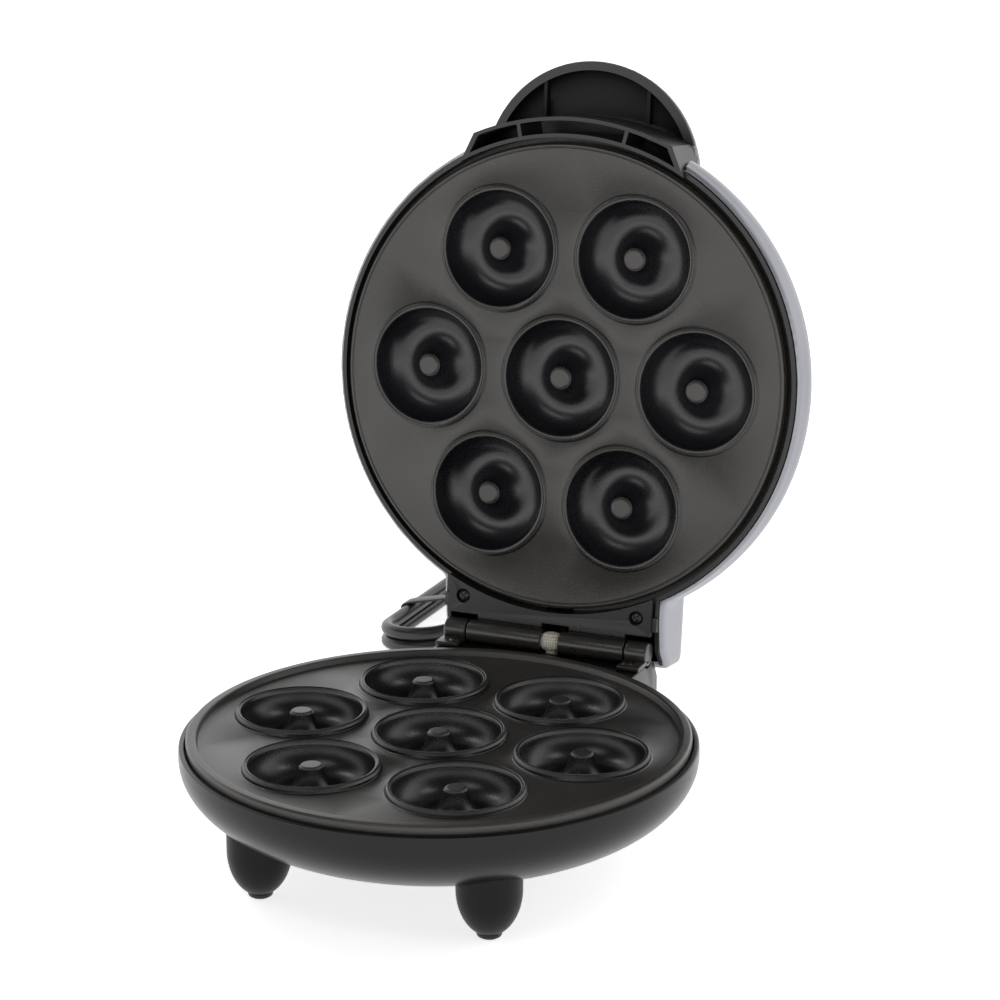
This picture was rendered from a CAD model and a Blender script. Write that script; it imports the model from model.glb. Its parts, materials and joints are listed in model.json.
"""Seven-hole donut maker, open on a worktop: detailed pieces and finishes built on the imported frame.

Shapes are modelled in millimetres. Pieces of the lid are modelled shut, with z = 0 on the plane
where the two plates meet, and are then turned open about the hinge.
"""

import json
import logging
import math
from dataclasses import dataclass, field
from enum import Enum
from typing import Iterable, Optional, Sequence

import bmesh
import bpy
from mathutils import Matrix, Vector

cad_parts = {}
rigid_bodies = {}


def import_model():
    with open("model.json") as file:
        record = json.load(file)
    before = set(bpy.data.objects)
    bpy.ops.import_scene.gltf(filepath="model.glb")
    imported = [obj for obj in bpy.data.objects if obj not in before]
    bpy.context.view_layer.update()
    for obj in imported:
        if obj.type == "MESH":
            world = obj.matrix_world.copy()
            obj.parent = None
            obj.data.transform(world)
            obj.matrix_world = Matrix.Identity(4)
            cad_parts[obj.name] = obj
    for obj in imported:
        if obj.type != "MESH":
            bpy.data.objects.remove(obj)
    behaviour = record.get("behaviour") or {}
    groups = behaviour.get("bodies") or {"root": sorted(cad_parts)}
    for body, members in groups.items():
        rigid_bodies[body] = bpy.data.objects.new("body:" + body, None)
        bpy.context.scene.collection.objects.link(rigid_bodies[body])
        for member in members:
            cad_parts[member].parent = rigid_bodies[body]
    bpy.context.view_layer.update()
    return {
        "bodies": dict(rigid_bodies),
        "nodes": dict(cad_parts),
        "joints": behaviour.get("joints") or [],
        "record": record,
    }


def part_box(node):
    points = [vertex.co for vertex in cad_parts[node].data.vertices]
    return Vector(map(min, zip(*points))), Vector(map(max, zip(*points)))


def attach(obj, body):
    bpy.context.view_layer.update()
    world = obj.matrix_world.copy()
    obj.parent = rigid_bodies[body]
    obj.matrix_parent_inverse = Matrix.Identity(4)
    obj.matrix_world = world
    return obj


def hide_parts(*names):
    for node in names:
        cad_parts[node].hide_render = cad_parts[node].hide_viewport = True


MM = 0.001
LOG = logging.getLogger("donut_maker")

Point2 = tuple[float, float]
Point3 = tuple[float, float, float]
Corner = tuple[float, float, float]
Shape = bmesh.types.BMesh


# ---------------------------------------------------------------- finishes


class Grain(Enum):
    """How a surface was made, which sets the pattern of its relief and colour."""

    CAST = "cast and coated"
    SPARKED = "moulded in a spark-eroded tool"
    POLISHED = "moulded in a polished tool"
    FLAKED = "sprayed with metal flake"
    ROLLED = "rolled or drawn metal"
    WOVEN = "woven from yarn"
    EXTRUDED = "extruded through a die"


def linear(hex_colour: str) -> tuple[float, float, float, float]:
    """Turn an sRGB hex colour into linear light.

    Args:
        hex_colour: Six hex digits, with or without a leading hash sign.

    Returns:
        Linear red, green, blue and an alpha of one.
    """
    digits = hex_colour.lstrip("#")
    shares = [int(digits[i:i + 2], 16) / 255 for i in (0, 2, 4)]
    values = [s / 12.92 if s <= 0.04045 else ((s + 0.055) / 1.055) ** 2.4 for s in shares]
    return values[0], values[1], values[2], 1.0


def add_node(tree: bpy.types.NodeTree, kind: str, settings: Optional[dict] = None,
             links: Optional[dict] = None) -> bpy.types.Node:
    """Add one shader node with its settings and links.

    Args:
        tree: The node tree that gets the node.
        kind: The node's Blender type name.
        settings: Attribute or input names with their values.
        links: Input names with the output sockets that feed them.

    Returns:
        The new node.
    """
    node = tree.nodes.new(kind)
    for key, value in (settings or {}).items():
        if isinstance(key, str) and hasattr(node, key):
            setattr(node, key, value)
        else:
            node.inputs[key].default_value = value
    for key, socket in (links or {}).items():
        tree.links.new(socket, node.inputs[key])
    return node


@dataclass(frozen=True)
class Finish:
    """One real material and the way its surface was made."""

    name: str
    slot: str
    colour: str
    shade: str
    grain: Grain
    grain_mm: float
    relief_mm: float
    roughness: float
    spread: float = 0.05
    metallic: float = 0.0
    ior: float = 1.5
    coat: float = 0.0
    emission: float = 0.0
    stretch: Point3 = (1.0, 1.0, 1.0)

    def material(self) -> bpy.types.Material:
        """Build the material once and return it again on later calls."""
        made = bpy.data.materials.get(self.name)
        if made:
            return made
        made = bpy.data.materials.new(self.name)
        made.use_nodes = True
        tree = made.node_tree
        shader = tree.nodes["Principled BSDF"]
        place = add_node(tree, "ShaderNodeTexCoord").outputs["Object"]
        turned = add_node(tree, "ShaderNodeMapping", {"Scale": self.stretch},
                          {"Vector": place}).outputs["Vector"]
        height = self._relief(tree, turned)
        cloud = add_node(tree, "ShaderNodeTexNoise", {"Scale": 1 / (60 * MM), "Detail": 2.0},
                         {"Vector": place})
        tone = add_node(tree, "ShaderNodeMath", {"operation": "MULTIPLY_ADD", 1: 0.6},
                        {0: height, 2: cloud.outputs["Fac"]})
        mixed = add_node(tree, "ShaderNodeMapRange", {"From Min": 0.5, "From Max": 1.1},
                         {"Value": tone.outputs[0]}).outputs["Result"]
        ramp = add_node(tree, "ShaderNodeValToRGB", None, {"Fac": mixed})
        ramp.color_ramp.elements[0].color = linear(self.shade)
        ramp.color_ramp.elements[1].color = linear(self.colour)
        tree.links.new(ramp.outputs["Color"], shader.inputs["Base Color"])
        dull = add_node(tree, "ShaderNodeMapRange", {"To Min": self.roughness - self.spread,
                                                     "To Max": self.roughness + self.spread},
                                                     {"Value": mixed})
        tree.links.new(dull.outputs["Result"], shader.inputs["Roughness"])
        bump = add_node(tree, "ShaderNodeBump", {"Strength": 1.0, "Distance": self.relief_mm * MM},
                        {"Height": height})
        tree.links.new(bump.outputs["Normal"], shader.inputs["Normal"])
        shader.inputs["Metallic"].default_value = self.metallic
        shader.inputs["Coat Weight"].default_value = self.coat
        shader.inputs["Coat Roughness"].default_value = 0.08
        if self.metallic < 0.5:
            shader.inputs["IOR"].default_value = self.ior
        if self.emission:
            shader.inputs["Emission Color"].default_value = linear(self.colour)
            shader.inputs["Emission Strength"].default_value = self.emission
        return made

    def _relief(self, tree: bpy.types.NodeTree, place: bpy.types.NodeSocket) -> bpy.types.NodeSocket:
        """Add the pattern of the surface's relief.

        Args:
            tree: The material's node tree.
            place: The coordinates that the pattern reads.

        Returns:
            A socket that gives the height from 0 to 1.
        """
        scale = 1 / (self.grain_mm * MM)
        if self.grain is Grain.WOVEN:
            across = [add_node(tree, "ShaderNodeTexWave", {"bands_direction": axis, "Scale": scale / 6.28,
                                                           "Distortion": 0.6}, {"Vector": place})
                      for axis in ("X", "Z")]
            return add_node(tree, "ShaderNodeMath", {"operation": "MULTIPLY"},
                            {0: across[0].outputs["Fac"], 1: across[1].outputs["Fac"]}).outputs[0]
        if self.grain is Grain.FLAKED:
            return add_node(tree, "ShaderNodeTexVoronoi", {"Scale": scale, "feature": "F1"},
                            {"Vector": place}).outputs["Distance"]
        detail = {Grain.CAST: 4.0, Grain.SPARKED: 3.0, Grain.POLISHED: 1.0, Grain.ROLLED: 3.0,
                  Grain.EXTRUDED: 1.0}[self.grain]
        return add_node(tree, "ShaderNodeTexNoise", {"Scale": scale, "Detail": detail, "Roughness": 0.6},
                        {"Vector": place}).outputs["Fac"]


class Finishes:
    """Every finish on the donut maker, named for what it is."""

    # Cast aluminium with a sprayed and baked PTFE coat: satin, with fine sparkling grit
    PTFE = Finish("ptfe_coat_on_cast_aluminium", "nonstick", "#3b3834", "#242220", Grain.CAST, 0.6, 0.1,
                  0.34, 0.04, ior=1.55)
    # The same coat inside the moulds, sprayed thicker: darker, smoother and a little blue
    PTFE_WELL = Finish("thick_ptfe_coat_in_moulds", "nonstick", "#141519", "#0c0d10", Grain.CAST, 0.6, 0.05,
                       0.27, 0.03, ior=1.55)
    # ABS from a polished tool: black with a soft gloss that picks out the bowl's edge
    HOUSING_ABS = Finish("semi_gloss_moulded_abs", "base_plastic", "#0a0a0a", "#070707", Grain.POLISHED, 14.0,
                         0.02, 0.26, 0.03, ior=1.37)
    # Polypropylene from a spark-eroded tool: even and dull
    LEG_PP = Finish("fine_textured_polypropylene", "leg_plastic", "#0c0c0c", "#080808", Grain.SPARKED, 0.7,
                    0.03, 0.4, 0.04, ior=1.28)
    # Moulded silicone rubber: darker, with a soft shine on its rounded edge
    RUBBER = Finish("moulded_silicone_rubber", "rubber", "#0b0b0b", "#070707", Grain.POLISHED, 3.0, 0.01,
                    0.36, 0.04, ior=1.43)
    # Nylon filled with glass, from a spark-eroded tool: warm black that shows its edges
    FRAME_NYLON = Finish("glass_filled_nylon_frame", "frame_plastic", "#211f1e", "#151413", Grain.SPARKED,
                         0.6,
                         0.05, 0.38, 0.05, ior=1.5)
    # The same nylon in the handle, a shade browner in its depth
    LINER_NYLON = Finish("glass_filled_nylon_liner", "frame_plastic", "#0f0c0a", "#0a0807", Grain.SPARKED,
                         0.8,
                         0.04, 0.5, 0.05, ior=1.35)
    # Acetal hinge barrels: smooth and waxy, with long soft highlights
    HINGE_POM = Finish("moulded_acetal_hinge", "hinge_plastic", "#2a2826", "#1e1c1a", Grain.POLISHED, 4.0,
                       0.015, 0.28, 0.04, ior=1.6)
    # The cover's own black ABS where no paint reaches
    BARE_ABS = Finish("unpainted_black_abs", "frame_plastic", "#151413", "#0e0d0d", Grain.SPARKED, 0.8, 0.03,
                      0.46, 0.05, ior=1.5)
    # Silver paint on ABS under a satin lacquer: metal flake too fine to show singly
    SILVER = Finish("satin_silver_paint_on_abs", "cover_silver", "#96979e", "#8c8d93", Grain.FLAKED, 0.5,
                    0.004, 0.36, 0.03, metallic=0.6, coat=0.1)
    # Pressed screws with a black oxide: dark metal, dull in the recess
    BLACK_SCREW = Finish("black_oxide_steel_screw", "dark_screw_steel", "#4a4846", "#2c2b2a", Grain.ROLLED,
                         0.8,
                         0.01, 0.36, 0.06, metallic=0.9)
    # Zinc-plated steel: clear silver grey with faint streaks
    ZINC = Finish("zinc_plated_steel", "steel", "#b4b6b8", "#8e9092", Grain.ROLLED, 1.2, 0.01, 0.32, 0.06,
                  metallic=1.0, stretch=(1.0, 1.0, 0.2))
    # Stainless heater sheath, tinted straw by its heat
    SHEATH = Finish("heat_tinted_stainless_sheath", "heater_steel", "#8b7f6c", "#5e564c", Grain.ROLLED, 3.0,
                    0.02, 0.42, 0.08, metallic=1.0)
    # Mill-finish aluminium sheet with the rolling's fine lines along X
    ALUMINIUM = Finish("mill_finish_aluminium_sheet", "sheet_metal", "#c3c5c8", "#a2a4a8", Grain.ROLLED, 0.9,
                       0.01, 0.34, 0.06, metallic=1.0, stretch=(0.05, 1.0, 1.0))
    # Lacquered brass cans of the thermostat and fuses
    BRASS = Finish("lacquered_brass_can", "brass", "#c5ab6a", "#93793f", Grain.ROLLED, 1.0, 0.01, 0.3, 0.06,
                   metallic=1.0)
    # Ivory urea resin of the terminal and lamp blocks
    IVORY = Finish("ivory_urea_resin", "white_plastic", "#e6e0d2", "#d6cfbf", Grain.SPARKED, 0.6, 0.02, 0.5,
                   0.05, ior=1.5)
    # Silicone-covered lead wire
    WIRE = Finish("red_silicone_wire_cover", "wire_red", "#5e2218", "#431710", Grain.EXTRUDED, 2.0, 0.02,
                  0.45,
                  0.05, ior=1.43)
    # Braided glass-fibre sleeve: off-white yarn about half a millimetre thick
    SLEEVE = Finish("braided_glass_fibre_sleeve", "glass_sleeve", "#e9e5da", "#a59f90", Grain.WOVEN, 0.55,
                    0.16,
                    0.72, 0.06, ior=1.5)
    # Soft PVC: black with a dull, slightly uneven shine from the die
    CORD_PVC = Finish("soft_pvc_cord_sheath", "cord_pvc", "#141414", "#0e0e0e", Grain.EXTRUDED, 5.0, 0.05,
                      0.34, 0.05, ior=1.52)
    # The same PVC, moulded round the plug and the relief in a textured tool
    PLUG_PVC = Finish("moulded_pvc_plug", "cord_pvc", "#171717", "#101010", Grain.SPARKED, 0.7, 0.03, 0.42,
                      0.05, ior=1.52)
    # Nickel-plated brass blades
    NICKEL = Finish("nickel_plated_brass", "blade_brass", "#cfcabd", "#b3ad9e", Grain.ROLLED, 0.8, 0.005,
                    0.22,
                    0.05, metallic=1.0, stretch=(1.0, 0.1, 1.0))
    # Tinted polycarbonate lenses: clear colour under a hard shine
    RED_LENS = Finish("tinted_red_polycarbonate", "lens_red", "#b01c14", "#8a120c", Grain.POLISHED, 3.0, 0.01,
                      0.1, 0.02, ior=1.58, coat=0.6)
    GREEN_LENS = Finish("tinted_green_polycarbonate", "lens_green", "#1a8a3c", "#126a2c", Grain.POLISHED, 3.0,
                        0.01, 0.1, 0.02, ior=1.58, coat=0.6)
    # Matt white sweep that the object stands on
    SWEEP = Finish("matt_white_sweep", "", "#ffffff", "#fcfcfc", Grain.SPARKED, 2.0, 0.01, 0.75, 0.03,
                   ior=1.3,
                   emission=0.72)


# ---------------------------------------------------------------- mesh tools


def arc(centre: Point2, radii: Point2, start: float, end: float, steps: int) -> list[Point2]:
    """Points of an elliptical arc.

    Args:
        centre: Middle of the ellipse.
        radii: Half axes.
        start: First angle in degrees.
        end: Last angle in degrees.
        steps: Number of pieces between them.

    Returns:
        steps + 1 points.
    """
    angles = [math.radians(start + (end - start) * i / steps) for i in range(steps + 1)]
    return [(centre[0] + radii[0] * math.cos(a), centre[1] + radii[1] * math.sin(a)) for a in angles]


def softened(corners: Sequence[Corner], steps: int = 5, closed: bool = False) -> list[Point2]:
    """Round the corners of an outline.

    Args:
        corners: Points with the radius of each corner, 0 for a sharp one.
        steps: Number of pieces in a rounded corner.
        closed: Whether the outline runs round to its first point.

    Returns:
        The outline with its corners replaced by arcs.
    """
    out: list[Point2] = []
    count = len(corners)
    for i, (x, y, radius) in enumerate(corners):
        inner = closed or 0 < i < count - 1
        if radius <= 0 or not inner:
            out.append((x, y))
            continue
        here = Vector((x, y))
        before = Vector(corners[i - 1][:2]) - here
        after = Vector(corners[(i + 1) % count][:2]) - here
        half = before.angle(after) / 2
        reach = min(radius / math.tan(half), before.length * 0.49, after.length * 0.49)
        first, last = here + before.normalized() * reach, here + after.normalized() * reach
        for k in range(steps + 1):
            t = k / steps
            out.append(tuple((1 - t) ** 2 * first + 2 * t * (1 - t) * here + t * t * last))
    return out


def lathe(outline: Sequence[Point2], steps: int = 128) -> Shape:
    """Spin a half outline round the Z axis.

    Args:
        outline: Radius and height of each point, along one side.
        steps: Number of pieces round the axis.

    Returns:
        The turned shape, closed where the outline meets the axis.
    """
    bm = bmesh.new()
    verts = [bm.verts.new((r, 0.0, z)) for r, z in outline]
    edges = [bm.edges.new(pair) for pair in zip(verts, verts[1:])]
    bmesh.ops.spin(bm, geom=verts + edges, cent=(0, 0, 0), axis=(0, 0, 1), angle=2 * math.pi, steps=steps,
                   use_merge=True)
    bmesh.ops.remove_doubles(bm, verts=bm.verts, dist=0.002)
    bmesh.ops.dissolve_degenerate(bm, edges=bm.edges, dist=0.0005)
    bmesh.ops.recalc_face_normals(bm, faces=bm.faces)
    return bm


def prism(outline: Sequence[Point2], along: float, bevel: float = 0.0, segments: int = 3) -> Shape:
    """Extrude a closed outline from z = 0 along Z, with its edges rounded.

    Args:
        outline: X and Y of the outline's points, in order.
        along: Length of the extrusion.
        bevel: Radius of the rounded edges.
        segments: Number of pieces in a rounded edge.

    Returns:
        The closed solid.
    """
    bm = bmesh.new()
    face = bm.faces.new([bm.verts.new((x, y, 0.0)) for x, y in outline])
    made = bmesh.ops.extrude_face_region(bm, geom=[face])
    top = [v for v in made["geom"] if isinstance(v, bmesh.types.BMVert)]
    bmesh.ops.translate(bm, verts=top, vec=(0, 0, along))
    bmesh.ops.recalc_face_normals(bm, faces=bm.faces)
    if bevel:
        sharp = [e for e in bm.edges if e.is_manifold and e.calc_face_angle(0) > math.radians(32)]
        bmesh.ops.bevel(bm, geom=sharp, offset=bevel, offset_type="OFFSET", segments=segments, profile=0.5,
                        affect="EDGES", material=-1, clamp_overlap=True)
    return bm


def block(size: Point3, centre: Point3, bevel: float = 0.0) -> Shape:
    """A box with rounded edges.

    Args:
        size: Full length along each axis.
        centre: Middle of the box.
        bevel: Radius of its edges.

    Returns:
        The closed solid.
    """
    bm = bmesh.new()
    bmesh.ops.create_cube(bm, size=1.0)
    bmesh.ops.scale(bm, vec=size, verts=bm.verts)
    if bevel:
        bmesh.ops.bevel(bm, geom=bm.edges[:], offset=bevel, offset_type="OFFSET", segments=3, profile=0.5,
                        affect="EDGES", material=-1, clamp_overlap=True)
    bmesh.ops.translate(bm, verts=bm.verts, vec=centre)
    return bm


def at(x: float, y: float, z: float) -> Matrix:
    """Matrix that carries a shape from the origin to a point."""
    return Matrix.Translation((x, y, z))


def placed(name: str, data: bpy.types.ID) -> bpy.types.Object:
    """Make an object that holds the data, in the scene."""
    obj = bpy.data.objects.new(name, data)
    bpy.context.scene.collection.objects.link(obj)
    return obj


def aimed(obj: bpy.types.Object, spot: Vector, way: Vector) -> None:
    """Stand a lamp or a camera at a spot, looking along a direction."""
    obj.location = spot
    obj.rotation_mode = "QUATERNION"
    obj.rotation_quaternion = way.to_track_quat("-Z", "Y")


def drum(radius: float, low: float, high: float, steps: int) -> Shape:
    """Turn a plain cylinder about the Z axis, between two heights."""
    return lathe([(0, low), (radius, low), (radius, high), (0, high)], steps)


def stood(bm: Shape, half: float) -> Shape:
    """Lay an extruded outline in Y and Z, with its length along X from -half."""
    return moved(bm, Matrix(((0, 0, 1, -half), (1, 0, 0, 0), (0, 1, 0, 0), (0, 0, 0, 1))))


def moved(bm: Shape, matrix: Matrix) -> Shape:
    """Apply a placing matrix to a shape and return it, with its faces outwards."""
    bmesh.ops.transform(bm, matrix=matrix, verts=bm.verts)
    if matrix.determinant() < 0:
        bmesh.ops.reverse_faces(bm, faces=bm.faces)
    return bm


def joined(shapes: Iterable[Shape]) -> Shape:
    """Gather several shapes in one mesh.

    Args:
        shapes: The shapes, which are used up.

    Returns:
        One mesh that holds them all.
    """
    whole = bmesh.new()
    for bm in shapes:
        carrier = bpy.data.meshes.new("carrier")
        bm.to_mesh(carrier)
        bm.free()
        whole.from_mesh(carrier)
        bpy.data.meshes.remove(carrier)
    return whole


def modified(bm: Shape, setup: Sequence[tuple[str, dict]]) -> Shape:
    """Run modifiers on a shape and apply them.

    Args:
        bm: The shape, which is used up.
        setup: Modifier types with their settings, in order.

    Returns:
        The shape that the modifiers give.
    """
    mesh = bpy.data.meshes.new("workpiece")
    bm.to_mesh(mesh)
    bm.free()
    for _ in range(2):
        mesh.materials.append(None)
    holder = placed("workpiece", mesh)
    for kind, settings in setup:
        modifier = holder.modifiers.new(kind.lower(), kind)
        for key, value in settings.items():
            setattr(modifier, key, value)
    shaped = holder.evaluated_get(bpy.context.evaluated_depsgraph_get()).to_mesh()
    out = bmesh.new()
    out.from_mesh(shaped)
    bpy.data.objects.remove(holder)
    bpy.data.meshes.remove(mesh)
    return out


def carved(bm: Shape, tools: Sequence[Shape], operation: str = "DIFFERENCE") -> Shape:
    """Cut solids out of a shape, or add them to it.

    Args:
        bm: The closed shape, which is used up.
        tools: Closed solids, which are used up.
        operation: DIFFERENCE or UNION.

    Returns:
        The shape after every tool.
    """
    holders = []
    setup = []
    for tool in tools:
        mesh = bpy.data.meshes.new("tool")
        for face in tool.faces:
            face.material_index = 1
        tool.to_mesh(mesh)
        tool.free()
        for _ in range(2):
            mesh.materials.append(None)
        holder = placed("tool", mesh)
        holders.append(holder)
        setup.append(("BOOLEAN", {"operation": operation, "solver": "MANIFOLD", "object": holder}))
    out = modified(bm, setup)
    for holder in holders:
        mesh = holder.data
        bpy.data.objects.remove(holder)
        bpy.data.meshes.remove(mesh)
    return out


class Shop:
    """Turns finished shapes into pieces that ride on the frame."""

    def __init__(self, frame: dict) -> None:
        """Keep the frame and work out how the open lid lies."""
        self.frame = frame
        joint = frame["joints"][0]
        hinge = Vector(joint["pos_m"]) / MM
        self.hinge_y = hinge.y
        self.hinge_rise = 1.0
        self.meet_z = hinge.z - self.hinge_rise
        turn = Matrix.Rotation(math.radians(min(joint["range_deg"])), 4, "X")
        self.base = at(0, 0, self.meet_z)
        self.axle = at(0, self.hinge_y, self.hinge_rise) @ Matrix.Rotation(math.pi / 2, 4, "Y")
        self.lid = Matrix.Translation(hinge) @ turn @ at(0, -self.hinge_y, -self.hinge_rise)

    def piece(self, name: str, bm: Shape, finish: Finish, body: str, replaces: Sequence[str] = (),
              crease: float = 32.0, bevel: float = 0.0, second: Optional[Finish] = None) -> bpy.types.Object:
        """Make a shown piece from a shape that lies where it stands, in millimetres.

        Args:
            name: The piece's name.
            bm: Its shape, which is used up.
            finish: What it is made of.
            body: The body that it rides on.
            replaces: CAD nodes that it stands for.
            crease: Faces that meet at more than this many degrees keep a sharp edge.
            bevel: Width in millimetres of a live bevel on sharp edges.
            second: Finish of the faces that the shape marks with material index 1.

        Returns:
            The piece.
        """
        bmesh.ops.scale(bm, vec=(MM, MM, MM), verts=bm.verts)
        mesh = bpy.data.meshes.new(name)
        bm.to_mesh(mesh)
        bm.free()
        mesh.shade_smooth()
        mesh.set_sharp_from_angle(angle=math.radians(crease))
        marks = [0] * len(mesh.polygons)
        mesh.polygons.foreach_get("material_index", marks)
        mesh.materials.clear()
        mesh.materials.append(finish.material())
        if second:
            mesh.materials.append(second.material())
        mesh.polygons.foreach_set("material_index", marks if second else [0] * len(marks))
        obj = placed(name, mesh)
        if bevel:
            soft = obj.modifiers.new("soft_edges", "BEVEL")
            soft.width = bevel * MM
            soft.segments = 2
            soft.limit_method = "ANGLE"
            soft.angle_limit = math.radians(crease)
            soft.harden_normals = True
        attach(obj, body)
        if replaces:
            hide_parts(*replaces)
        LOG.info("%s: %d faces, %s", name, len(mesh.polygons), finish.name)
        return obj

    def refined(self, node: str, finish: Finish, body: str, bevel: float, crease: float = 32.0,
                second: Optional[Finish] = None, above: float = 0.0) -> bpy.types.Object:
        """Stand in for a CAD node with a merged copy whose edges are rounded.

        Args:
            node: The CAD node.
            finish: What it is made of.
            body: The body that it rides on.
            bevel: Width of the rounded edges in millimetres.
            crease: Angle in degrees above which an edge is rounded.
            second: Finish of the faces that lie deep inside, if they differ.
            above: Height over the meeting plane, in the shut lid, from which that is so.

        Returns:
            The piece.
        """
        bm = bmesh.new()
        bm.from_mesh(self.frame["nodes"][node].data)
        bmesh.ops.scale(bm, vec=(1 / MM,) * 3, verts=bm.verts)
        bmesh.ops.remove_doubles(bm, verts=bm.verts, dist=0.003)
        bmesh.ops.dissolve_limit(bm, angle_limit=math.radians(1.0), verts=bm.verts, edges=bm.edges)
        if second:
            shut = self.lid.inverted()
            for face in bm.faces:
                face.material_index = int((shut @ face.calc_center_median()).z > above)
        return self.piece(node + "_moulded", bm, finish, body, [node], crease, bevel, second)

    def dress(self, node: str, finish: Finish) -> None:
        """Give a CAD node that stays as it is a better material."""
        data = self.frame["nodes"][node].data
        data.materials.clear()
        data.materials.append(finish.material())
        LOG.info("%s keeps its CAD shape, %s", node, finish.name)


# ---------------------------------------------------------------- camera and lead


@dataclass
class Viewpoint:
    """The camera, a long lens a little above the worktop."""

    azimuth: float = 22.941
    elevation: float = 16.251
    distance: float = 1167.2
    aim: Point3 = (26.22, 0.0, 152.44)
    lens: float = 109.09

    def build(self) -> bpy.types.Object:
        """Make the camera and give it to the scene."""
        a, e = math.radians(self.azimuth), math.radians(self.elevation)
        back = Vector((math.sin(a) * math.cos(e), -math.cos(a) * math.cos(e), math.sin(e)))
        data = bpy.data.cameras.new("viewpoint")
        data.lens = self.lens
        data.sensor_width = 36.0
        data.clip_start, data.clip_end = 0.05, 20.0
        camera = placed("viewpoint", data)
        aimed(camera, (Vector(self.aim) + back * self.distance) * MM, -back)
        bpy.context.scene.camera = camera
        return camera


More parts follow.
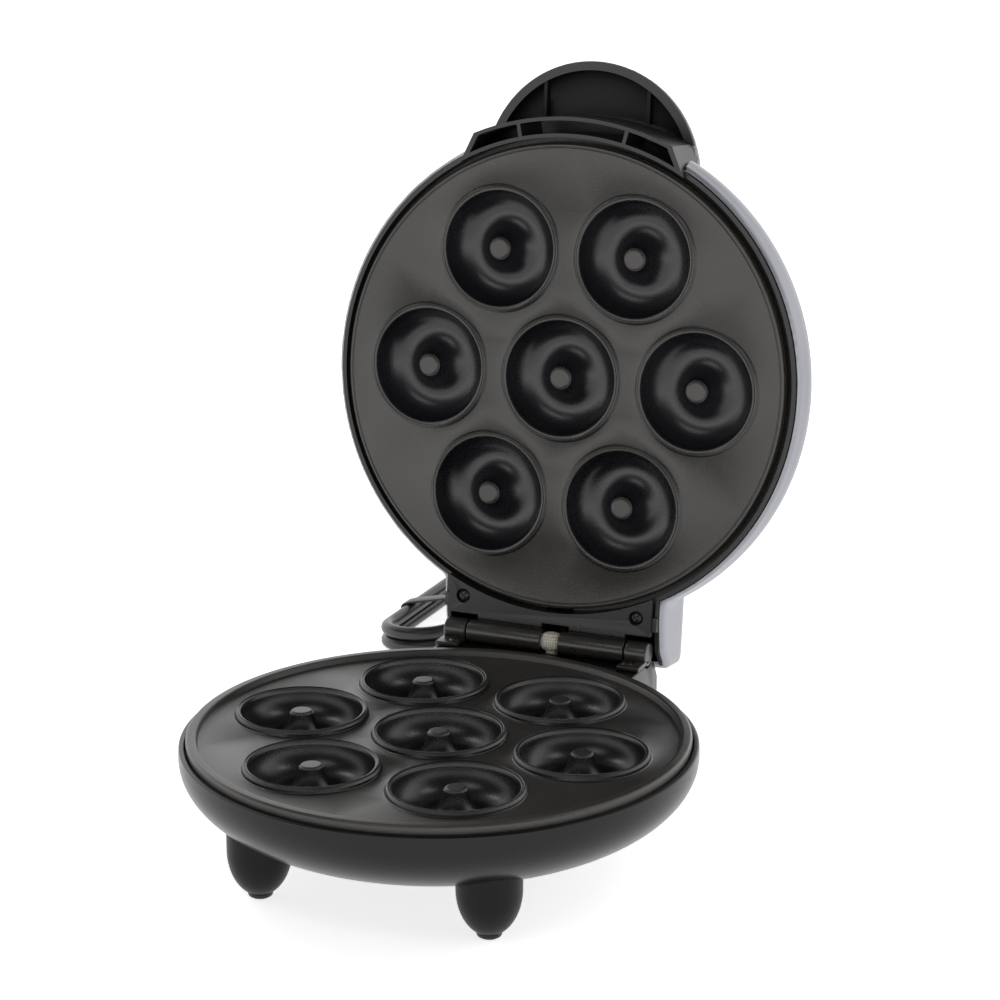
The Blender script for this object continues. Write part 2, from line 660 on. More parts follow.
@dataclass
class MainsLead:
    """The mains cord: out of the back, down to the worktop and into a tied hank with its plug on top."""

    diameter: float = 6.5
    exit: Point3 = (-25.0, 151.3, 34.0)
    hank_x: float = -110.5
    hank_r: float = 19.5
    front_y: float = 234.0
    back_y: float = 329.0
    layers: tuple[float, float, float] = (3.3, 9.75, 15.65)
    lift: float = 54.0
    plug_z: float = 19.8
    blade_x: float = 6.35
    strap_w: float = 8.0
    route: Sequence[Point3] = field(default_factory=lambda: [
        (-25, 151.4, 34), (-25, 154, 34), (-25, 159, 33.3), (-26, 166, 31), (-28, 174, 26), (-31, 182, 20),
        (-35, 190, 14), (-40, 198, 8.5), (-46, 206, 5), (-52.6, 214, 3.6), (-59, 222, 3.3),
        (-65, 230, 3.3), (-71, 239, 3.3), (-76.4, 248.5, 3.3), (-81, 258, 3.3), (-84.2, 267, 3.3),
        (-86.9, 277, 3.3), (-89, 288, 3.3), (-90.4, 300, 3.3), (-91, 313, 3.3)])

    def turns(self) -> list[Point3]:
        """Work out the folded run: two turns, then the end that climbs to the plug.

        Returns:
            Points in millimetres, from the back of the first strand on.
        """
        low, middle, high = self.layers
        points: list[Point3] = []
        for turn, (level, upper) in enumerate(((low, middle), (middle, high))):
            points += [(self.hank_x + self.hank_r * math.cos(a), self.back_y + self.hank_r * math.sin(a),
                        level)
                       for a in (math.pi * i / 12 for i in range(13))]
            points += [(self.hank_x - self.hank_r, self.back_y + (self.front_y - self.back_y) * t, level)
                       for t in (0.2, 0.4, 0.6, 0.8)]
            points += [(self.hank_x - self.hank_r * math.cos(a), self.front_y - self.hank_r * math.sin(a),
                        level + (upper - level) * i / 12)
                       for i, a in ((i, math.pi * i / 12) for i in range(13))]
            if turn == 0:
                points += [(self.hank_x + self.hank_r, self.front_y + (self.back_y - self.front_y) * t, upper)
                           for t in (0.2, 0.4, 0.6, 0.8)]
        return points + [(self.hank_x + self.hank_r, self.front_y + self.lift * t,
                          high + (self.plug_z - high) * t) for t in (0.33, 0.66, 1.0)]

    def centreline(self) -> list[Vector]:
        """Run a smooth line through the whole route.

        Returns:
            Points in millimetres about every millimetre or two.
        """
        knots = [Vector(p) for p in [*self.route, *self.turns()]]
        line: list[Vector] = []
        for i in range(len(knots) - 1):
            p0, p1, p2, p3 = knots[max(i - 1, 0)], knots[i], knots[i + 1], knots[min(i + 2, len(knots) - 1)]
            pieces = max(2, int((p2 - p1).length / 2.5))
            for k in range(pieces):
                t = k / pieces
                line.append(0.5 * (2 * p1 + (p2 - p0) * t + (2 * p0 - 5 * p1 + 4 * p2 - p3) * t * t
                                   + (3 * p1 - p0 - 3 * p2 + p3) * t ** 3))
        line.append(knots[-1])
        for point in line:
            point.z = max(point.z, self.layers[0])
        return line

    def build(self, shop: Shop) -> None:
        """Make the cord, its relief, its plug and the strap round the hank.

        Args:
            shop: Where pieces are finished.
        """
        line = self.centreline()
        curve = bpy.data.curves.new("mains_cord", "CURVE")
        curve.dimensions = "3D"
        spline = curve.splines.new("POLY")
        spline.points.add(len(line) - 1)
        for knot, point in zip(spline.points, line):
            knot.co = (*(point * MM), 1.0)
        curve.bevel_depth = self.diameter / 2 * MM
        curve.bevel_resolution = 6
        curve.use_fill_caps = True
        curve.materials.append(Finishes.CORD_PVC.material())
        cord = placed("mains_cord", curve)
        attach(cord, "base")
        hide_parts("power_cord", "cord_hank")
        relief = self.strain_relief(shop)
        plug, blades = self.plug(shop)
        strap = self.strap(shop)

    def strain_relief(self, shop: Shop) -> bpy.types.Object:
        """Make the ribbed, tapered sleeve at the back wall."""
        low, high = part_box("strain_relief")
        wall = low.y / MM + 4
        tip = high.y / MM
        outline: list[Corner] = [(self.diameter / 2 + 0.1, -4, 0), (5.35, -4, 0), (5.35, 0.2, 0),
                                                     (6.65, 0.2, 0.3), (6.65, 1.8, 0.5), (5.4, 1.8, 0.2)]
        ribs = 6
        for i in range(ribs):
            start = 3.4 + (tip - wall - 5) * i / ribs
            r = 5.2 - 1.4 * (i + 0.5) / ribs
            outline += [(r, start, 0.2), (r, start + 2.3, 0.2), (r - 0.75, start + 2.5, 0.2),
                        (r - 0.75, start + 3.5, 0.2)]
        bore, mouth, end = self.diameter / 2 + 0.1, self.diameter / 2 + 0.5, tip - wall
        outline += [(mouth, end - 1.5, 0.3), (mouth, end, 0.3), (bore, end, 0), (bore, -4, 0)]
        bm = lathe(softened(outline, 3), 64)
        lie = at(self.exit[0], wall, self.exit[2]) @ Matrix.Rotation(-math.pi / 2, 4, "X")
        return shop.piece("strain_relief_sleeve", moved(bm, lie), Finishes.PLUG_PVC, "base",
                          ["strain_relief"])

    def plug(self, shop: Shop) -> tuple[bpy.types.Object, bpy.types.Object]:
        """Make the two-blade plug that lies on the hank."""
        low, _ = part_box("plug_body")
        start = low.y / MM
        x = self.hank_x + self.hank_r
        lie = at(x, start, self.plug_z) @ Matrix.Rotation(-math.pi / 2, 4, "X")
        sleeve: list[Corner] = [(0, 0, 0), (3.6, 0, 0.3)]
        for i in range(5):
            r = 3.8 + 0.28 * i
            sleeve += [(r, 1 + 4.8 * i, 0.2), (r, 3.7 + 4.8 * i, 0.2), (r - 0.7, 3.9 + 4.8 * i, 0.2),
                       (r - 0.7, 5.4 + 4.8 * i, 0.2)]
        sleeve += [(5.25, 26, 0), (0, 26, 0)]
        relief = moved(lathe(softened(sleeve, 3), 48), lie)
        outline = softened([(-7, 25, 2.5), (7, 25, 2.5), (12, 35, 7), (12, 49, 2.0), (-12, 49, 2.0),
                            (-12, 35, 7)],
                           6, closed=True)
        body = prism(outline, 13, 2.2, 4)
        grips = [block((0.9, 1.3, 7.0), (s * 12.0, 33.5 + 2.9 * i, 6.5), 0.35)
                 for s in (-1, 1) for i in range(4)]
        whole = joined([body, *grips])
        moved(whole, at(x, start, self.plug_z - 6.5))
        plug = shop.piece("plug_moulding", joined([relief, whole]), Finishes.PLUG_PVC, "base", ["plug_body"])
        b_low, b_high = (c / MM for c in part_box("plug_blades"))
        size, middle = (1.5, b_high.y - b_low.y, 6.3), (b_low.y + b_high.y) / 2
        blades = [block(size, (x + s * self.blade_x, middle, self.plug_z), 0.5) for s in (-1, 1)]
        return plug, shop.piece("plug_blade_pair", joined(blades), Finishes.NICKEL, "base", ["plug_blades"])

    def strap(self, shop: Shop) -> bpy.types.Object:
        """Make the strap that holds the hank together."""
        low, high = (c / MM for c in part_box("cord_tie"))
        t = 1.0
        steps = 6
        outer = softened([(low.x, low.z, 0), (low.x, 12.6, 3), (low.x + 5, 14.4, 6), (high.x - 6, high.z, 5),
                          (high.x, high.z - 3, 4), (high.x, low.z, 0)], steps)
        inner = softened([(low.x + t, low.z, 0), (low.x + t, 12.2, 2.5), (low.x + 5.5, 13.5, 6),
                          (high.x - 6.4, high.z - t, 4.5), (high.x - t, high.z - 3.6, 3.5),
                          (high.x - t, low.z, 0)], steps)
        bm = prism([*outer, *reversed(inner)], self.strap_w, 0.25, 2)
        edge_y = (low.y + high.y) / 2 + self.strap_w / 2
        lie = at(0, edge_y, 0) @ Matrix.Rotation(math.pi / 2, 4, "X")
        return shop.piece("hank_strap", moved(bm, lie), Finishes.PLUG_PVC, "base", ["cord_tie"])


# ---------------------------------------------------------------- plates


@dataclass
class MouldPlate:
    """A cast plate with seven ring moulds, modelled with its food side towards +Z."""

    pitch: float = 61.0
    mould_r: float = 24.7
    lip_w: float = 2.4
    lip_h: float = 2.6
    depth: float = 12.0
    post_r: float = 4.7
    rim_r: float = 100.5
    rim_w: float = 4.1
    skirt: float = 9.0
    half_gap: float = 0.2
    wall: float = 2.2
    steps: int = 84

    def cup_outline(self, top: float) -> list[Point2]:
        """Half outline of one mould, from the middle of its post to the foot of its lip.

        Args:
            top: Height of the lip above the plate's flat face.

        Returns:
            Radius and height of each point.
        """
        mid = (self.mould_r + self.post_r) / 2
        half = (self.mould_r - self.post_r) / 2
        post_top = top - 0.4
        foot = self.mould_r + self.lip_w
        outline = [(0.0, post_top), (self.post_r - 1.5, post_top)]
        outline += arc((self.post_r - 1.3, post_top - 1.0), (1.1, 1.0), 90, 0, 4)
        outline += arc((mid, top), (half, self.depth), 187, 353, 26)
        outline += softened([(self.mould_r - 0.3, top - 1.6, 0), (self.mould_r + 0.1, top - 0.1, 0.5),
                             (self.mould_r + self.lip_w * 0.55, top, 0.5), (foot - 0.6, top - 0.25, 0.6),
                             (foot - 0.15, top - 1.0, 0.4), (foot, 0.35, 0.3), (foot + 0.5, 0.0, 0)], 3)
        return outline

    def marked(self, bm: Shape, top: float) -> Shape:
        """Mark the faces between post and lip, where the coat is thicker."""
        for face in bm.faces:
            middle = face.calc_center_median()
            reach = math.hypot(middle.x, middle.y)
            well = self.post_r - 0.2 < reach < self.mould_r and middle.z < top - 0.9
            foot = reach > self.mould_r + self.lip_w - 0.15
            face.material_index = int(well or foot)
        return bm

    def places(self) -> list[Point2]:
        """Middles of the seven moulds."""
        ring = [(self.pitch * math.cos(math.radians(60 * i)), self.pitch * math.sin(math.radians(60 * i)))
                for i in range(6)]
        return [(0.0, 0.0), *ring]

    def rim_outline(self, top: float) -> list[Point2]:
        """Outline of the edge, from the flat face over the rim and down the skirt."""
        inner = self.rim_r - self.rim_w
        corners = [(inner - 1.6, 0, 0), (inner - 0.7, 0, 0.5), (inner, top - 0.2, 0.6),
                   (inner + 0.8, top, 0.5),
                   (self.rim_r - 0.6, top, 0.9), (self.rim_r, top - 0.9, 0.5),
                   (self.rim_r, top - self.skirt, 0)]
        return softened(corners, 4)

    def shape(self) -> Shape:
        """Build the coated face, its moulds and its edge as one skin, then give it its thickness.

        Returns:
            The closed plate, with z = 0 on the meeting plane and the food side towards +Z.
        """
        top = self.lip_h - self.half_gap
        cup = self.cup_outline(top)
        rim = self.rim_outline(top)
        parts = [moved(self.marked(lathe(cup, self.steps), top), at(x, y, 0))
                 for x, y in self.places()]
        parts.append(lathe(rim, self.steps * 2))
        face = bmesh.new()
        for x, y in self.places():
            bmesh.ops.create_circle(face, cap_ends=False, segments=self.steps, radius=cup[-1][0],
                                    matrix=at(x, y, 0) @ Matrix.Rotation(math.pi / 2, 4, "Z"))
        bmesh.ops.create_circle(face, cap_ends=False, segments=self.steps * 2, radius=rim[0][0],
                                matrix=Matrix.Rotation(math.pi / 2, 4, "Z"))
        bmesh.ops.triangle_fill(face, use_beauty=True, use_dissolve=False, edges=face.edges)
        skin = joined([*parts, face])
        bmesh.ops.remove_doubles(skin, verts=skin.verts, dist=0.02)
        bmesh.ops.recalc_face_normals(skin, faces=skin.faces)
        flat = max(skin.faces, key=lambda f: f.calc_area())
        if flat.normal.z < 0:
            bmesh.ops.reverse_faces(skin, faces=skin.faces)
        bmesh.ops.translate(skin, verts=skin.verts, vec=(0, 0, -self.lip_h))
        return modified(skin, [("SOLIDIFY", {"thickness": self.wall, "offset": -1.0})])


@dataclass
class LowerPlate(MouldPlate):
    """The fixed plate, with high lips and a raised rim."""

    def build(self, shop: Shop) -> None:
        """Make the lower plate on the base."""
        shop.piece("lower_plate_coated", moved(self.shape(), shop.base), Finishes.PTFE, "base",
                   ["lower_plate"], 40,
                   second=Finishes.PTFE_WELL)


@dataclass
class UpperPlate(MouldPlate):
    """The lid's plate, with low lips and a fine groove inside its edge."""

    lip_h: float = 1.6
    rim_r: float = 98.8

    def rim_outline(self, top: float) -> list[Point2]:
        """Outline of the edge: a fine groove, then a small round edge and the skirt."""
        corners = [(self.rim_r - 2.2, 0, 0), (self.rim_r - 1.75, 0, 0.2), (self.rim_r - 1.5, -0.35, 0.15),
                   (self.rim_r - 1.2, -0.35, 0.15), (self.rim_r - 0.95, 0.05, 0.2),
                   (self.rim_r - 0.3, 0.05, 0.3),
                   (self.rim_r, -0.4, 0.4), (self.rim_r, self.half_gap - self.skirt, 0)]
        return softened(corners, 4)

    def build(self, shop: Shop) -> None:
        """Make the upper plate, turned over and on the lid."""
        turned = shop.lid @ Matrix.Scale(-1, 4, (0, 0, 1))
        shop.piece("upper_plate_coated", moved(self.shape(), turned), Finishes.PTFE, "lid", ["upper_plate"],
                   40,
                   second=Finishes.PTFE_WELL)


# ---------------------------------------------------------------- base


@dataclass
class Bowl:
    """The moulded base: a shallow bowl with the hinge's box at its back."""

    flat_r: float = 55.0
    bowl_r: float = 103.5
    depth: float = 37.0
    belly: float = 8.0
    mouth_in: float = 101.1
    mouth_out: float = 103.3
    mouth_z: float = -3.6
    wall: float = 2.2
    box_half_w: float = 46.6
    box_top: float = -3.0
    box_back: float = 125.3
    trough_r: float = 5.7
    recess_r: float = 3.2
    recess_deep: float = 1.6
    ledge_r: float = 94.4
    ledge_top: float = -9.5
    ledge_low: float = -11.5
    screw_ring: float = 35.2184

    def bowl(self) -> Shape:
        """Turn the bowl, its rounded mouth and its inner wall."""
        across, down = self.bowl_r - self.flat_r, self.depth - self.belly
        outline = [(0.0, -self.depth)]
        outline += arc((self.flat_r, -self.belly), (across, down), -90, 0, 28)
        outline += softened([(self.bowl_r, -self.belly + 0.2, 0), (self.mouth_out, self.mouth_z, 0.8),
                             (self.mouth_in, self.mouth_z, 0.5),
                             (self.mouth_in, self.ledge_top, 0), (self.ledge_r, self.ledge_top, 0),
                             (self.ledge_r, self.ledge_low, 0),
                             (self.bowl_r - self.wall - 0.3, self.ledge_low, 0)], 5)
        outline += arc((self.flat_r, -self.belly), (across - self.wall, down - self.wall), -9, -90, 20)
        outline.append((0.0, -self.depth + self.wall))
        return lathe(outline, 192)

    def box(self, shop: Shop) -> Shape:
        """Extrude the box behind the bowl, with the trough for the hinge's barrels."""
        reach = math.sqrt(self.trough_r ** 2 - (self.box_top - shop.hinge_rise) ** 2)
        down = math.degrees(math.atan2(self.box_top - shop.hinge_rise, reach))
        front = softened([(86.0, self.box_top, 0), (shop.hinge_y - reach, self.box_top, 0)])
        trough = arc((shop.hinge_y, shop.hinge_rise), (self.trough_r,) * 2, -180 - down, down, 12)
        back = softened([(shop.hinge_y + reach, self.box_top, 0), (120.1, self.box_top, 1.2),
                         (self.box_back, -11.8, 1.5), (self.box_back, -22, 2), (121.1, -25.5, 1.5),
                         (86.0, -26.0, 0)])
        bm = prism([*front, *trough[1:-1], *back], 2 * self.box_half_w, 0.9, 3)
        return stood(bm, self.box_half_w)

    def build(self, shop: Shop) -> None:
        """Make the housing with its screw recesses."""
        mouth = drum(self.mouth_in, -9.4, 6, 192)
        below, lead_in, floor = -self.depth - 2, -self.depth + 0.4, -self.depth + self.recess_deep
        recess = softened([(0, below, 0), (self.recess_r + 0.5, below, 0), (self.recess_r, lead_in, 0.2),
                           (self.recess_r, floor, 0), (0, floor, 0)])
        recesses = [moved(lathe(recess, 40),
                          Matrix.Rotation(math.radians(a), 4, "Z") @ at(self.screw_ring, 0, 0))
                    for a in (90, 210, 330)]
        box = carved(self.box(shop), [mouth])
        bm = carved(carved(self.bowl(), [box], "UNION"), recesses)
        shop.piece("base_housing_moulding", moved(bm, shop.base), Finishes.HOUSING_ABS, "base",
                   ["base_housing"], 34)


@dataclass
class Leg:
    """A bullet-shaped leg with a rubber tip."""

    name: str
    radius: float = 12.8
    gap: float = 17.7
    tip_h: float = 2.6
    top: float = 29.0

    def build(self, shop: Shop) -> None:
        """Make the leg and its tip where the CAD tip stands."""
        low, high = (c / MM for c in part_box("tip_" + self.name))
        x, y = (low.x + high.x) / 2, (low.y + high.y) / 2
        foot = 0.42 * self.radius
        outline = [(0.0, self.tip_h), (foot - 0.35, self.tip_h), (foot + 0.35, self.tip_h + 0.3)]
        outline += arc((0, self.gap + 2), (self.radius, self.gap + 1), -62, 0, 22)
        outline += [(self.radius, self.top), (0.0, self.top)]
        place = at(x, y, 0)
        shop.piece("leg_" + self.name + "_shell", moved(lathe(outline, 72), place), Finishes.LEG_PP, "base",
                   ["leg_" + self.name], 38)
        pad = softened([(0, 0, 0), (foot - 2.0, 0, 0.8), (foot - 0.6, 0.9, 0.8),
                        (foot - 0.2, self.tip_h - 0.15, 0.2),
                        (0, self.tip_h - 0.15, 0)], 5)
        shop.piece("tip_" + self.name + "_pad", moved(lathe(pad, 56), place), Finishes.RUBBER, "base",
                   ["tip_" + self.name], 38)


# ---------------------------------------------------------------- screws and hinge


@dataclass
class CrossScrew:
    """A screw with a domed head and a cross recess."""

    head_r: float = 2.8
    head_h: float = 1.8
    shank_r: float = 1.5
    length: float = 8.0

    def shape(self) -> Shape:
        """Build one screw with its head from z = 0 up and its shank down.

        Returns:
            The closed screw.
        """
        outline = softened([(0, -self.length, 0), (self.shank_r - 0.4, -self.length, 0),
                            (self.shank_r, -self.length + 0.6, 0),
                            (self.shank_r, 0, 0), (self.head_r - 0.1, 0, 0.1), (self.head_r, 0.8, 0.5),
                            (self.head_r * 0.6, self.head_h - 0.1, 1.0), (0, self.head_h, 0)], 5)
        cuts = [moved(block((4.0, 0.75, 2.0), (0, 0, self.head_h + 0.1), 0.12), Matrix.Rotation(a, 4, "Z"))
                for a in (math.radians(45), math.radians(135))]
        return carved(lathe(outline, 48), cuts)


@dataclass
class Hinge:
    """Barrels, leaves and screws between the base and the lid."""

    barrel_r: float = 5.1
    half_w: float = 46.8
    cap_in: float = 36.8
    knuckle_out: float = 36.2
    gap_x: float = 2.2
    gap_half: float = 4.2
    sleeve_r: float = 3.0
    sleeve_half: float = 26.0
    bulge_r: float = 4.3
    drop_r: float = 2.6
    foot: Point3 = (10.0, 13.2, 1.9)
    foot_y: float = 107.4
    foot_z: float = -1.95
    edge: float = 0.4
    screw_seat_r: float = 3.1
    cap_screw: Point3 = (39.8, 105.8, -2.0)
    lid_screw: Point3 = (40.0, 99.1, 2.5)

    def barrel(self, start: float, end: float, bore: float, shop: Shop) -> Shape:
        """Turn a barrel along X on the hinge axis, open at its bore."""
        outline = softened([(bore, start, 0), (self.barrel_r - 0.05, start, 0.7),
                            (self.barrel_r - 0.05, end, 0.7),
                            (bore, end, 0), (bore, start, 0)], 4)
        return moved(lathe(outline, 72), shop.axle)

    def build(self, shop: Shop) -> None:
        """Make both halves of the hinge."""
        for side, s in (("left", -1), ("right", 1)):
            ends = sorted((s * self.cap_in, s * self.half_w))
            closed = softened([(0, ends[0], 0), (self.barrel_r, ends[0], 1.1), (self.barrel_r, ends[1], 1.1),
                               (0, ends[1], 0)], 6)
            barrel = moved(lathe(closed, 72), shop.axle)
            foot = block(self.foot, (s * (self.cap_in + self.foot[0] / 2), self.foot_y, self.foot_z),
                         self.edge)
            seat = drum(self.screw_seat_r, -2.1, 3, 40)
            foot = carved(foot, [moved(seat, at(s * self.cap_screw[0], self.cap_screw[1], 0))])
            shop.piece(f"hinge_cap_{side}_moulding", moved(joined([barrel, foot]), shop.base),
                       Finishes.HINGE_POM,
                       "base", [f"hinge_cap_{side}"], 34)
            inner, outer = self.gap_x + s * self.gap_half, s * self.knuckle_out
            first, last = sorted((inner, outer))
            tube = self.barrel(first, last, self.sleeve_r + 0.4, shop)
            web = block((last - first - 4, 8.6, 2.1), ((first + last) / 2, 107.5, 4.85), self.edge)
            shop.piece(f"knuckle_{side}_moulding", moved(joined([tube, web]), shop.lid), Finishes.HINGE_POM,
                       "lid",
                       [f"knuckle_{side}"], 34)
        self.sleeve(shop)
        self.screws(shop)

    def sleeve(self, shop: Shop) -> None:
        """Make the braided sleeve that shows in the gap between the knuckles, frayed and uneven."""
        end = self.sleeve_half
        outline = [(0.0, -end), (self.sleeve_r, -end), (self.sleeve_r, self.gap_x - 4.6)]
        outline += arc((self.sleeve_r - 0.2, self.gap_x), (self.bulge_r - self.sleeve_r + 0.2, 4.0), -80,
                       80, 10)
        outline += [(self.sleeve_r, self.gap_x + 4.6), (self.sleeve_r, end), (0.0, end)]
        bm = lathe(outline, 56)
        for v in bm.verts:
            turn = math.atan2(v.co.y, v.co.x)
            fray = 0.45 * math.exp(-((v.co.z - self.gap_x) / 3.5) ** 2)
            v.co.z += fray * (1.3 * math.sin(3 * turn) + 0.5 * math.sin(11 * turn))
        drop = moved(drum(self.drop_r, -11, 0, 40), at(self.gap_x, shop.hinge_y, 0))
        whole = moved(joined([moved(bm, shop.axle), drop]), shop.base)
        shop.piece("wire_sleeve_braid", whole, Finishes.SLEEVE, "base", ["wire_sleeve"], 50)

    def screws(self, shop: Shop) -> None:
        """Make the two screws that show on each half."""
        upright, flip = Matrix.Identity(4), Matrix.Scale(-1, 4, (0, 0, 1))
        for name, length, spot, turn, body, place in (
                ("hinge_cap_screw", 7.0, self.cap_screw, upright, "base", shop.base),
                ("knuckle_screw", 9.0, self.lid_screw, flip, "lid", shop.lid)):
            x, y, z = spot
            pair = [moved(CrossScrew(length=length).shape(), at(s * x, y, z) @ turn) for s in (-1, 1)]
            shop.piece(name + "_pair", moved(joined(pair), place), Finishes.BLACK_SCREW, body, [name + "s"],
                       30)


# ---------------------------------------------------------------- lid


@dataclass
class LidCover:
    """The silver cover: a domed shell that flows into the handle and the hump over the hinge."""

    lid_r: float = 106.6
    mouth_z: float = 4.2
    belly_z: float = 13.5
    top_z: float = 40.0
    wall: float = 1.6
    grip_y: float = -84.2
    grip_r: float = 48.8
    grip_low: float = 26.5
    grip_rise: float = 24.5
    grip_top: float = 36.0
    hump_half_w: float = 50.8
    hump_back: float = 123.1
    hump_top: float = 33.0
    grid: float = 1.25
    bar_back: Point2 = (55.0, -80.0)
    bar_front: Point2 = (40.6, -113.2)
    mouth_r: float = 103.6
    lamp_x: float = 9.0
    lamp_y: float = -60.0
    lamp_hole_r: float = 2.8

    def dome(self, inset: float, low: float) -> Shape:
        """Turn the dome, drawn in by inset and with its underside at low."""
        rise = self.top_z - self.belly_z - inset
        outline = [(0.0, low), (105.2 - inset, low), (105.4 - inset, low + 4), (106.3 - inset, 11.2)]
        outline += [((self.lid_r - inset) * math.cos(math.radians(a)) ** 0.45,
                     self.belly_z + rise * math.sin(math.radians(a))) for a in range(0, 88, 4)]
        outline.append((0.0, self.top_z - inset))
        return lathe(outline, 160)

    def grip(self, inset: float, low: float) -> Shape:
        """Turn the handle's disc, drawn in by inset and with its underside at low."""
        rise = self.grip_top - self.grip_rise - 3 - inset
        outline = [(0.0, low), (self.grip_r - 0.3 - inset, low), (self.grip_r - inset, self.grip_rise + 3)]
        outline += [((self.grip_r - inset) * math.cos(math.radians(a)) ** 0.3,
                     self.grip_rise + 3 + rise * math.sin(math.radians(a))) for a in range(6, 87, 8)]
        outline.append((0.0, self.grip_top - inset))
        return moved(lathe(outline, 128), at(0, self.grip_y, 0))

    def hump(self, inset: float, low: float, shop: Shop) -> Shape:
        """Extrude the hump over the hinge, drawn in by inset and with its underside at low."""
        y = shop.hinge_y
        outline = softened([(70, low, 0), (y - 14, low, 0), (y, low + 3, 2), (self.hump_back - inset, 15, 2),
                            (self.hump_back - inset, self.hump_top - 1.4 - inset, 1.0),
                            (self.hump_back - 2 - inset, self.hump_top - inset, 1.0),
                            (70, self.hump_top - inset, 0)],
                           4, closed=True)
        half = self.hump_half_w - inset
        bm = prism(outline, 2 * half, 0.0 if inset else 0.8)
        return stood(bm, half)

    def build(self, shop: Shop) -> None:
        """Blend the outside into one skin, then hollow it."""
        outside = joined([self.dome(0, self.mouth_z), self.grip(0, self.grip_low), self.hump(0, 4, shop)])
        skin = modified(outside, [
            ("REMESH", {"mode": "VOXEL", "voxel_size": self.grid}),
            ("SMOOTH", {"factor": 0.6, "iterations": 9}),
        ])
        tools = [self.dome(self.wall, 1.0), self.grip(self.wall, 20.0), self.hump(self.wall, 0.5, shop)]
        (back_x, back_y), (front_x, front_y) = self.bar_back, self.bar_front
        bar_room = prism([(-back_x, back_y), (-front_x, front_y), (front_x, front_y), (back_x, back_y)],
                         self.grip_low + 0.4)
        mouth = drum(self.mouth_r, 0, 12, 160)
        lamps = [moved(drum(self.lamp_hole_r, 20, 50, 40), at(s * self.lamp_x, self.lamp_y, 0))
                 for s in (-1, 1)]
        bm = carved(skin, [*tools, mouth, bar_room, *lamps])
        shop.piece("lid_cover_painted", moved(bm, shop.lid), Finishes.SILVER, "lid", ["lid_cover"], 38,
                   second=Finishes.BARE_ABS)


@dataclass
class LidTrim:
    """The black frame, the handle's inside and the two lamps."""

    edge: float = 0.35
    rim_top: float = 25.6
    lens_r: float = 2.6
    lens_top: float = 40.4
    lens_y: float = -60.0

    def build(self, shop: Shop) -> None:
        """Make the frame, the liner and the lenses."""
        shop.refined("lid_frame", Finishes.FRAME_NYLON, "lid", self.edge)
        shop.refined("handle_liner", Finishes.FRAME_NYLON, "lid", self.edge, second=Finishes.LINER_NYLON,
                     above=self.rim_top)
        for node, x, finish in (("power_lens", -9.0, Finishes.RED_LENS),
                                ("ready_lens", 9.0, Finishes.GREEN_LENS)):
            outline = softened([(0, 32, 0), (4, 32, 0), (4, 34, 0), (self.lens_r, 34, 0),
                                (self.lens_r, self.lens_top - 0.2, 0.6), (0, self.lens_top, 0)], 5)
            bm = moved(lathe(outline, 48), at(x, self.lens_y, 0))
            shop.piece(node + "_dome", moved(bm, shop.lid), finish, "lid", [node], 34)


# ---------------------------------------------------------------- inner works and set


@dataclass
class InnerWorks:
    """Sealed pieces that keep their CAD shapes."""

    finishes: dict[str, Finish] = field(default_factory=lambda: {
        "leg_screws": Finishes.ZINC, "lower_plate_screws": Finishes.ZINC, "upper_plate_screws": Finishes.ZINC,
        "hinge_pin_left": Finishes.ZINC, "hinge_pin_right": Finishes.ZINC, "lower_heater": Finishes.SHEATH,
        "upper_heater": Finishes.SHEATH, "lower_reflector": Finishes.ALUMINIUM,
        "heat_shield": Finishes.ALUMINIUM,
        "thermostat": Finishes.BRASS, "thermal_fuse": Finishes.BRASS, "lid_thermal_fuse": Finishes.BRASS,
        "terminal_block": Finishes.IVORY, "lamp_holder": Finishes.IVORY, "base_wiring": Finishes.WIRE,
        "lid_wiring": Finishes.WIRE})

    def build(self, shop: Shop) -> None:
        """Dress each inner piece."""
        for node, finish in self.finishes.items():
            shop.dress(node, finish)


@dataclass
class Lamp:
    """One soft box aimed at a point."""

    name: str
    spot: Point3
    aim: Point3
    size: Point2
    power: float

    def build(self) -> None:
        """Make the area light."""
        data = bpy.data.lights.new(self.name, "AREA")
        data.shape = "RECTANGLE"
        data.size, data.size_y = self.size
        data.energy = self.power
        spot = Vector(self.spot)
        aimed(placed(self.name, data), spot, Vector(self.aim) - spot)


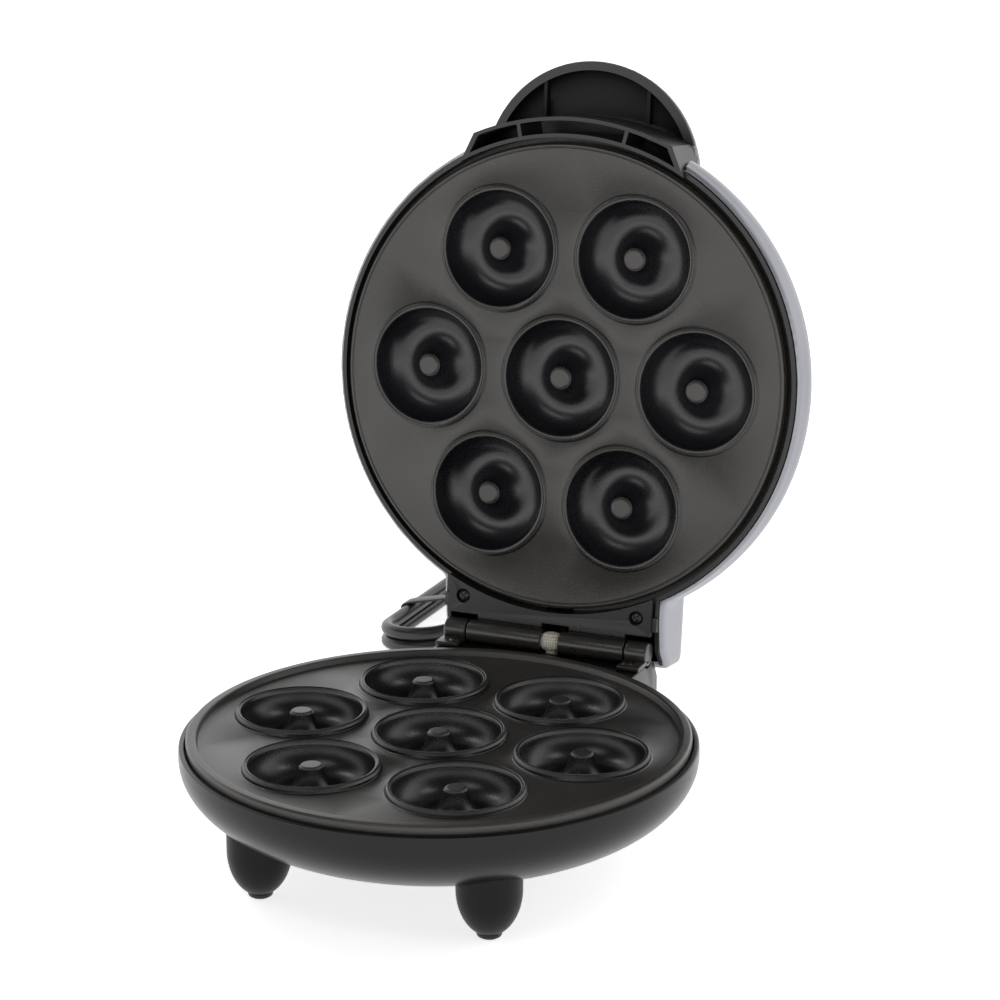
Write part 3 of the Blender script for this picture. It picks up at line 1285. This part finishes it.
@dataclass
class Studio:
    """A lit white sweep, three soft boxes above and a surround with a pale band near the horizon."""

    floor_half: float = 9000.0
    behind: float = 1.5
    band: float = 2.2
    above: float = 0.12
    lamps: Sequence[Lamp] = field(default_factory=lambda: [
        Lamp("top_box", (-0.1, -0.7, 1.0), (0.0, 0.1, 0.28), (0.6, 0.3), 1.1),
        Lamp("left_box", (-0.8, 0.1, 0.95), (0.0, 0.0, 0.05), (0.18, 0.3), 0.8),
        Lamp("right_box", (0.7, 0.15, 0.95), (0.0, 0.0, 0.05), (0.18, 0.3), 0.7)])

    def build(self) -> None:
        """Make the floor, the lights and the surround."""
        bm = bmesh.new()
        bmesh.ops.create_grid(bm, x_segments=8, y_segments=8, size=self.floor_half * MM)
        mesh = bpy.data.meshes.new("floor")
        bm.to_mesh(mesh)
        bm.free()
        mesh.materials.append(Finishes.SWEEP.material())
        floor = placed("floor", mesh)
        for lamp in self.lamps:
            lamp.build()
        self.surround()
        bpy.context.scene.view_settings.view_transform = "Standard"

    def surround(self) -> None:
        """Light the world: white behind, dim overhead and a bright band low in front."""
        world = bpy.data.worlds.new("surround")
        world.use_nodes = True
        tree = world.node_tree
        way = add_node(tree, "ShaderNodeTexCoord").outputs["Generated"]
        split = add_node(tree, "ShaderNodeSeparateXYZ", None, {"Vector": way})
        front = add_node(tree, "ShaderNodeMapRange", {"From Min": 0.08, "From Max": 0.42, "To Min": self.band,
                                                      "To Max": self.above}, {"Value": split.outputs["Z"]})
        back = add_node(tree, "ShaderNodeMapRange", {"From Min": 0.45, "From Max": 0.85,
                                                     "To Min": self.behind,
                                                     "To Max": self.above}, {"Value": split.outputs["Z"]})
        side = add_node(tree, "ShaderNodeMapRange", {"From Min": -0.2, "From Max": 0.3},
                        {"Value": split.outputs["Y"]})
        level = add_node(tree, "ShaderNodeMix", {"data_type": "FLOAT"},
                         {0: side.outputs["Result"], 2: front.outputs["Result"], 3: back.outputs["Result"]})
        tree.links.new(level.outputs[0], tree.nodes["Background"].inputs["Strength"])
        tree.nodes["Background"].inputs["Color"].default_value = linear("#ffffff")
        bpy.context.scene.world = world


def main() -> None:
    """Build the donut maker, piece by piece, and its setting."""
    logging.basicConfig(level=logging.INFO, format="%(message)s")
    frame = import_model()
    shop = Shop(frame)
    Viewpoint().build()
    MainsLead().build(shop)
    LowerPlate().build(shop)
    UpperPlate().build(shop)
    Bowl().build(shop)
    for name in ("front_left", "front_right", "back_left", "back_right"):
        Leg(name).build(shop)
    Hinge().build(shop)
    LidCover().build(shop)
    LidTrim().build(shop)
    InnerWorks().build(shop)
    Studio().build()


if __name__ == "__main__":
    main()
